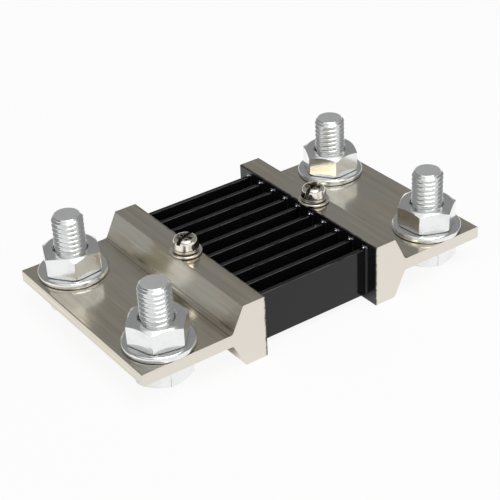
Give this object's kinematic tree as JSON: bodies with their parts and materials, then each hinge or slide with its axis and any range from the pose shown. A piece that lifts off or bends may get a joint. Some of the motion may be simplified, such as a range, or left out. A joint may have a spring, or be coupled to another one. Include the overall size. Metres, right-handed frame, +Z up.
{
  "type": "current shunt resistor",
  "caption": "Bar-type current shunt: plated metal end blocks with bolted terminal plates, joined by a row of black flat resistance strips, with a sense screw on each block.",
  "frame": {"origin": "on the surface that the blocks stand on, below the middle of the part", "axes": "+X along the current, from the left block to the right one; +Z up, along the bolts"},
  "size_m": [0.1432, 0.0808, 0.0371],
  "materials": {
    "nickel_plated_block": "satin nickel plate over drawn brass",
    "black_paint": "gloss black paint",
    "zinc_plated_steel": "bright clear zinc plate",
    "nickel_plated_screw": "bright nickel plate"
  },
  "bodies": {
    "root": {"end_block_left": "nickel_plated_block", "end_block_right": "nickel_plated_block", "resistor_strip_01": "black_paint", "resistor_strip_02": "black_paint", "resistor_strip_03": "black_paint", "resistor_strip_04": "black_paint", "resistor_strip_05": "black_paint", "resistor_strip_06": "black_paint", "resistor_strip_07": "black_paint", "resistor_strip_08": "black_paint", "resistor_strip_09": "black_paint", "resistor_strip_10": "black_paint", "braze_left": "black_paint", "braze_right": "black_paint", "bolt_front_left": "zinc_plated_steel", "washer_front_left": "zinc_plated_steel", "nut_front_left": "zinc_plated_steel", "bolt_front_right": "zinc_plated_steel", "washer_front_right": "zinc_plated_steel", "nut_front_right": "zinc_plated_steel", "bolt_back_left": "zinc_plated_steel", "washer_back_left": "zinc_plated_steel", "nut_back_left": "zinc_plated_steel", "bolt_back_right": "zinc_plated_steel", "washer_back_right": "zinc_plated_steel", "nut_back_right": "zinc_plated_steel", "sense_screw_left": "nickel_plated_screw", "sense_spring_washer_left": "nickel_plated_screw", "sense_flat_washer_left": "nickel_plated_screw", "sense_screw_right": "nickel_plated_screw", "sense_spring_washer_right": "nickel_plated_screw", "sense_flat_washer_right": "nickel_plated_screw"}
  },
  "joints": []
}
